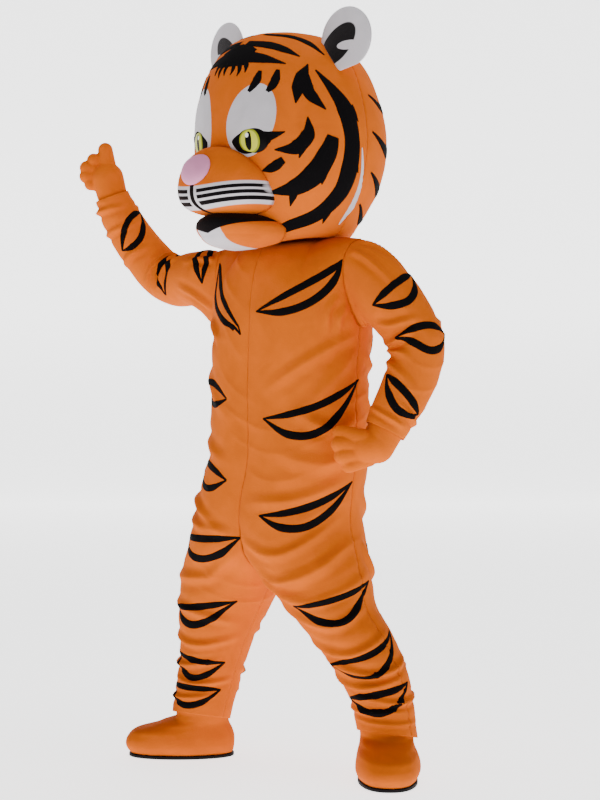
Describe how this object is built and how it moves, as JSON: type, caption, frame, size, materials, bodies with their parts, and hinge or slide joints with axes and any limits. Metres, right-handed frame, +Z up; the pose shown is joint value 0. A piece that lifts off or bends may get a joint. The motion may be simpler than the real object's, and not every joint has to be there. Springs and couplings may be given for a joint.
{
  "type": "tiger mascot costume",
  "caption": "Full-body tiger costume of plush fabric: padded head, hollow body suit with set-in sleeves, padded gloves and boot covers, in the pose it is worn in",
  "frame": {"origin": "mount wearer_shoulders, in the middle of the suit's neck opening at shoulder height, 1.39 m above the floor the soles stand on", "axes": "+Z up, the suit faces -Y, +X is the suit's own left side"},
  "size_m": [1.142, 0.5831, 1.9948],
  "materials": {
    "orange_plush": "short-pile plush",
    "white_plush": "short-pile plush",
    "pink_plush": "short-pile plush",
    "eye_fabric": "smooth printed fabric",
    "sole_rubber": "matte"
  },
  "bodies": {
    "root": {"head_face": "orange_plush", "head_back": "orange_plush", "muzzle": "white_plush", "jaw": "orange_plush", "nose": "pink_plush", "eye_left": "eye_fabric", "eye_right": "eye_fabric", "ear_left": "white_plush", "ear_right": "white_plush", "suit_front_left": "orange_plush", "suit_front_right": "orange_plush", "suit_back_left": "orange_plush", "suit_back_right": "orange_plush", "sleeve_left": "orange_plush", "sleeve_right": "orange_plush", "glove_left": "orange_plush", "glove_right": "orange_plush", "boot_left_upper": "orange_plush", "boot_right_upper": "orange_plush", "boot_left_sole": "sole_rubber", "boot_right_sole": "sole_rubber"}
  },
  "joints": []
}
